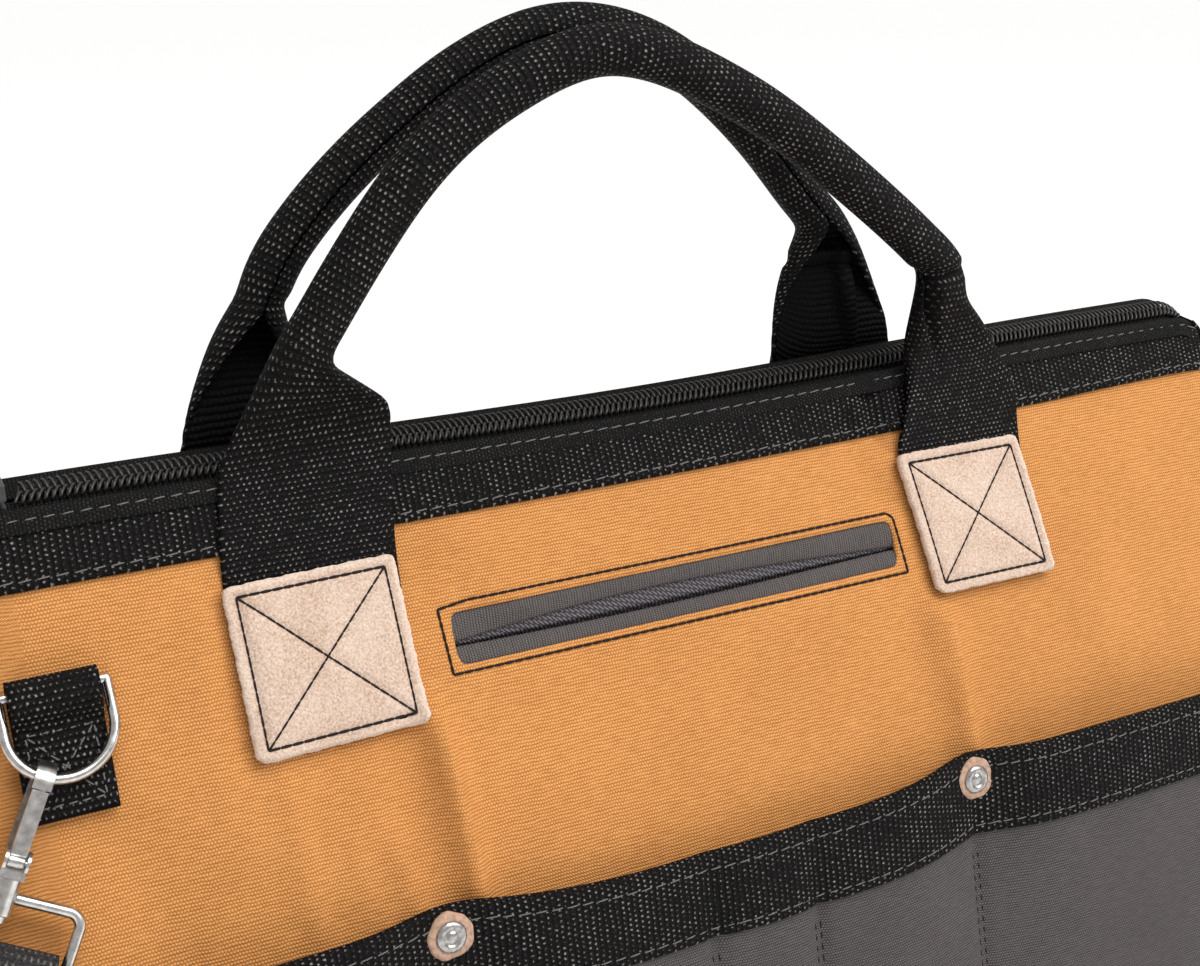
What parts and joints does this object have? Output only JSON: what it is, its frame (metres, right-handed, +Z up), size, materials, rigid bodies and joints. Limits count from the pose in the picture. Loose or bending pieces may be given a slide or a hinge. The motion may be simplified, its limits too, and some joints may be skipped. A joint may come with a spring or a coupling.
{
  "type": "zippered tool bag",
  "caption": "Canvas tool bag with leaning walls, a zipper along the top, webbing carry handles, outer pockets, a slit pocket and a clip-on shoulder strap.",
  "frame": {"origin": "middle of the base, on the surface that the bag stands on", "axes": "+X along the zipper to the right seen from the front, front at -Y, +Z up"},
  "size_m": [0.5803, 0.273, 0.4049],
  "materials": {
    "tan_canvas": "golden brown duck canvas",
    "grey_canvas": "dark grey canvas",
    "lining": "charcoal twill",
    "black_webbing": "black woven webbing",
    "strap_webbing": "charcoal woven webbing",
    "suede": "pale suede",
    "washer_leather": "raw leather",
    "zipper_coil": "black nylon",
    "slider_metal": "black enamel",
    "nickel": "nickel plate",
    "board": "stiff black board"
  },
  "bodies": {
    "bag": {"front_panel": "tan_canvas", "back_panel": "tan_canvas", "left_end_panel": "tan_canvas", "right_end_panel": "tan_canvas", "base_panel": "tan_canvas", "base_board": "board", "slit_upper_lip": "grey_canvas", "slit_lower_lip": "grey_canvas", "slit_pouch": "lining", "left_zipper_end": "black_webbing", "right_zipper_end": "black_webbing", "shoulder_strap": "strap_webbing", "front_pocket": "grey_canvas", "front_pocket_band": "black_webbing", "front_rivets": "nickel", "front_rivet_washers": "washer_leather", "front_top_band": "black_webbing", "front_left_web_end": "black_webbing", "front_left_patch": "suede", "front_right_web_end": "black_webbing", "front_right_patch": "suede", "front_zipper_tape": "black_webbing", "front_zipper_teeth": "zipper_coil", "front_ring_tab": "black_webbing", "back_pocket": "grey_canvas", "back_pocket_band": "black_webbing", "back_rivets": "nickel", "back_rivet_washers": "washer_leather", "back_top_band": "black_webbing", "back_left_web_end": "black_webbing", "back_left_patch": "suede", "back_right_web_end": "black_webbing", "back_right_patch": "suede", "back_zipper_tape": "black_webbing", "back_zipper_teeth": "zipper_coil", "back_ring_tab": "black_webbing"},
    "zipper_slider": {"zipper_slider": "slider_metal"},
    "zipper_pull": {"zipper_pull_tab": "slider_metal"},
    "front_handle": {"front_handle_grip": "black_webbing"},
    "front_ring": {"front_d_ring": "nickel"},
    "front_hook": {"front_snap_hook": "nickel"},
    "front_gate": {"front_hook_gate": "nickel"},
    "front_loop": {"front_strap_loop": "nickel"},
    "back_handle": {"back_handle_grip": "black_webbing"},
    "back_ring": {"back_d_ring": "nickel"},
    "back_hook": {"back_snap_hook": "nickel"},
    "back_gate": {"back_hook_gate": "nickel"},
    "back_loop": {"back_strap_loop": "nickel"}
  },
  "joints": [
    {"name": "zipper_slide", "type": "slide", "parent": "bag", "child": "zipper_slider", "axis": [1, 0, 0], "range_m": [0, 0.41], "deforming": ["front_zipper_teeth", "back_zipper_teeth"]},
    {"name": "pull_tab_hinge", "type": "hinge", "parent": "zipper_slider", "child": "zipper_pull", "pos_m": [-0.206, 0, 0.2868], "axis": [0, 1, 0], "range_deg": [0, 170]},
    {"name": "front_handle_fold", "type": "hinge", "parent": "bag", "child": "front_handle", "pos_m": [0, -0.012, 0.277], "axis": [1, 0, 0], "range_deg": [0, 130]},
    {"name": "front_ring_swing", "type": "hinge", "parent": "bag", "child": "front_ring", "pos_m": [-0.195, -0.03265, 0.23333], "axis": [-1, 0, 0], "range_deg": [0, 100], "deforming": ["shoulder_strap"]},
    {"name": "front_hook_swing", "type": "hinge", "parent": "front_ring", "child": "front_hook", "pos_m": [-0.20198, -0.04633, 0.21523], "axis": [-0.8746, 0.2056, 0.4391], "range_deg": [0, 60], "deforming": ["shoulder_strap"]},
    {"name": "front_gate_press", "type": "hinge", "parent": "front_hook", "child": "front_gate", "pos_m": [-0.2127, -0.05924, 0.19993], "axis": [-0.8746, 0.2056, 0.4391], "range_deg": [0, 14], "stiffness_Nm_per_rad": 0.02},
    {"name": "front_loop_swivel", "type": "hinge", "parent": "front_hook", "child": "front_loop", "pos_m": [-0.2173, -0.05805, 0.1902], "axis": [-0.4848, -0.3709, -0.7921], "range_deg": [-15, 15], "deforming": ["shoulder_strap"]},
    {"name": "back_handle_fold", "type": "hinge", "parent": "bag", "child": "back_handle", "pos_m": [0, 0.012, 0.277], "axis": [-1, 0, 0], "range_deg": [0, 130]},
    {"name": "back_ring_swing", "type": "hinge", "parent": "bag", "child": "back_ring", "pos_m": [0.195, 0.03265, 0.23333], "axis": [1, 0, 0], "range_deg": [0, 100], "deforming": ["shoulder_strap"]},
    {"name": "back_hook_swing", "type": "hinge", "parent": "back_ring", "child": "back_hook", "pos_m": [0.20198, 0.04633, 0.21523], "axis": [0.8746, -0.2056, 0.4391], "range_deg": [0, 60], "deforming": ["shoulder_strap"]},
    {"name": "back_gate_press", "type": "hinge", "parent": "back_hook", "child": "back_gate", "pos_m": [0.2127, 0.05924, 0.19993], "axis": [0.8746, -0.2056, 0.4391], "range_deg": [0, 14], "stiffness_Nm_per_rad": 0.02},
    {"name": "back_loop_swivel", "type": "hinge", "parent": "back_hook", "child": "back_loop", "pos_m": [0.2173, 0.05805, 0.1902], "axis": [0.4848, 0.3709, -0.7921], "range_deg": [-15, 15], "deforming": ["shoulder_strap"]}
  ]
}
